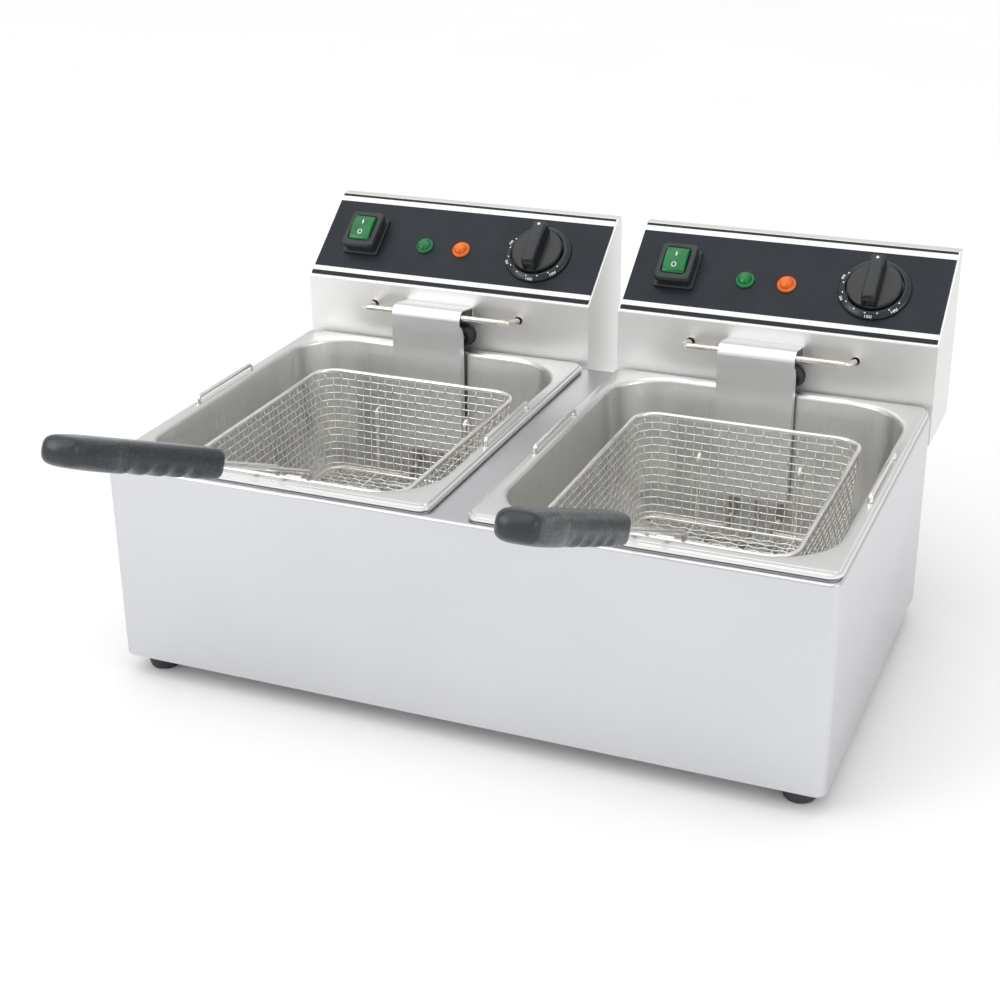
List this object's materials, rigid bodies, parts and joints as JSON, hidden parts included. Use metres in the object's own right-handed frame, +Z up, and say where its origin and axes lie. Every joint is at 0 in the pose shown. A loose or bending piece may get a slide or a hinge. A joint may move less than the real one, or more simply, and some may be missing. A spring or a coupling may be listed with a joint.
{
  "type": "deep fryer",
  "caption": "Countertop deep fryer with side-by-side lift-out oil tanks, wire baskets with folding handles, and lift-off control heads carrying immersion heating elements.",
  "frame": {"origin": "centre of the footprint of the whole fryer, basket handles included, on the plane its feet stand on", "axes": "+Z up; +X towards the operator's right; the front panel faces -Y and the control heads stand at +Y"},
  "size_m": [0.56, 0.6562, 0.3025],
  "materials": {
    "body_steel": "brushed stainless sheet, folded and spot welded",
    "tank_steel": "satin deep-drawn stainless steel",
    "wire_chrome": "bright nickel-chrome plated wire",
    "cover_steel": "bright stainless sheet",
    "tube_steel": "dull stainless heating tube",
    "copper": "bare copper bulb and capillary",
    "label_black": "printed dark grey film",
    "gloss_black": "moulded black plastic",
    "grip_plastic": "moulded heat-resistant phenolic, dark grey",
    "rubber": "moulded black rubber",
    "ceramic": "unglazed white ceramic",
    "green_lens": "translucent green plastic",
    "orange_lens": "translucent orange plastic"
  },
  "bodies": {
    "base": {"body_shell": "body_steel", "base_plate": "body_steel", "foot_front_left": "rubber", "foot_front_right": "rubber", "foot_rear_left": "rubber", "foot_rear_right": "rubber", "head_bracket_left": "body_steel", "head_bracket_right": "body_steel"},
    "tank_left": {"tank_left": "tank_steel"},
    "bail_outer_left": {"tank_bail_outer_left": "wire_chrome"},
    "bail_inner_left": {"tank_bail_inner_left": "wire_chrome"},
    "head_left": {"head_shell_left": "body_steel", "head_back_cover_left": "body_steel", "element_cover_left": "cover_steel", "hanging_rod_left": "wire_chrome", "heating_element_left": "tube_steel", "element_seal_left": "rubber", "thermostat_bulb_left": "copper", "cable_gland_left": "gloss_black", "terminal_block_left": "ceramic", "control_label_left": "label_black", "switch_housing_left": "gloss_black", "power_lamp_left": "green_lens", "heat_lamp_left": "orange_lens", "dial_ring_left": "gloss_black", "thermostat_left": "gloss_black"},
    "basket_left": {"basket_cage_left": "wire_chrome", "basket_rim_left": "wire_chrome", "basket_hook_left": "wire_chrome", "basket_handle_clip_left": "wire_chrome"},
    "handle_left": {"basket_handle_wire_left": "wire_chrome", "basket_grip_left": "grip_plastic"},
    "knob_left": {"knob_left": "gloss_black"},
    "rocker_left": {"switch_rocker_left": "green_lens"},
    "tank_right": {"tank_right": "tank_steel"},
    "bail_outer_right": {"tank_bail_outer_right": "wire_chrome"},
    "bail_inner_right": {"tank_bail_inner_right": "wire_chrome"},
    "head_right": {"head_shell_right": "body_steel", "head_back_cover_right": "body_steel", "element_cover_right": "cover_steel", "hanging_rod_right": "wire_chrome", "heating_element_right": "tube_steel", "element_seal_right": "rubber", "thermostat_bulb_right": "copper", "cable_gland_right": "gloss_black", "terminal_block_right": "ceramic", "control_label_right": "label_black", "switch_housing_right": "gloss_black", "power_lamp_right": "green_lens", "heat_lamp_right": "orange_lens", "dial_ring_right": "gloss_black", "thermostat_right": "gloss_black"},
    "basket_right": {"basket_cage_right": "wire_chrome", "basket_rim_right": "wire_chrome", "basket_hook_right": "wire_chrome", "basket_handle_clip_right": "wire_chrome"},
    "handle_right": {"basket_handle_wire_right": "wire_chrome", "basket_grip_right": "grip_plastic"},
    "knob_right": {"knob_right": "gloss_black"},
    "rocker_right": {"switch_rocker_right": "green_lens"}
  },
  "joints": [
    {"name": "tank_lift_left", "type": "slide", "parent": "base", "child": "tank_left", "axis": [0, 0, 1], "range_m": [0, 0.18]},
    {"name": "bail_outer_lift_left", "type": "slide", "parent": "tank_left", "child": "bail_outer_left", "axis": [0, 0, 1], "range_m": [0, 0.03]},
    {"name": "bail_inner_lift_left", "type": "slide", "parent": "tank_left", "child": "bail_inner_left", "axis": [0, 0, 1], "range_m": [0, 0.03]},
    {"name": "head_lift_left", "type": "slide", "parent": "tank_left", "child": "head_left", "axis": [0, 0, 1], "range_m": [0, 0.16]},
    {"name": "basket_lift_left", "type": "slide", "parent": "head_left", "child": "basket_left", "axis": [0, 0, 1], "range_m": [0, 0.15]},
    {"name": "handle_fold_left", "type": "hinge", "parent": "basket_left", "child": "handle_left", "pos_m": [-0.1464, -0.04634, 0.166], "axis": [-1, 0, 0], "range_deg": [0, 135]},
    {"name": "knob_turn_left", "type": "hinge", "parent": "head_left", "child": "knob_left", "pos_m": [-0.0729, 0.27201, 0.2619], "axis": [0, 0.6171, -0.7869], "range_deg": [0, 270]},
    {"name": "switch_rock_left", "type": "hinge", "parent": "head_left", "child": "rocker_left", "pos_m": [-0.239, 0.2664, 0.26906], "axis": [-1, 0, 0], "range_deg": [0, 12]},
    {"name": "tank_lift_right", "type": "slide", "parent": "base", "child": "tank_right", "axis": [0, 0, 1], "range_m": [0, 0.18]},
    {"name": "bail_outer_lift_right", "type": "slide", "parent": "tank_right", "child": "bail_outer_right", "axis": [0, 0, 1], "range_m": [0, 0.03]},
    {"name": "bail_inner_lift_right", "type": "slide", "parent": "tank_right", "child": "bail_inner_right", "axis": [0, 0, 1], "range_m": [0, 0.03]},
    {"name": "head_lift_right", "type": "slide", "parent": "tank_right", "child": "head_right", "axis": [0, 0, 1], "range_m": [0, 0.16]},
    {"name": "basket_lift_right", "type": "slide", "parent": "head_right", "child": "basket_right", "axis": [0, 0, 1], "range_m": [0, 0.15]},
    {"name": "handle_fold_right", "type": "hinge", "parent": "basket_right", "child": "handle_right", "pos_m": [0.1464, -0.04634, 0.166], "axis": [-1, 0, 0], "range_deg": [0, 135]},
    {"name": "knob_turn_right", "type": "hinge", "parent": "head_right", "child": "knob_right", "pos_m": [0.22, 0.27201, 0.2619], "axis": [0, 0.6171, -0.7869], "range_deg": [0, 270]},
    {"name": "switch_rock_right", "type": "hinge", "parent": "head_right", "child": "rocker_right", "pos_m": [0.0539, 0.2664, 0.26906], "axis": [-1, 0, 0], "range_deg": [0, 12]}
  ]
}
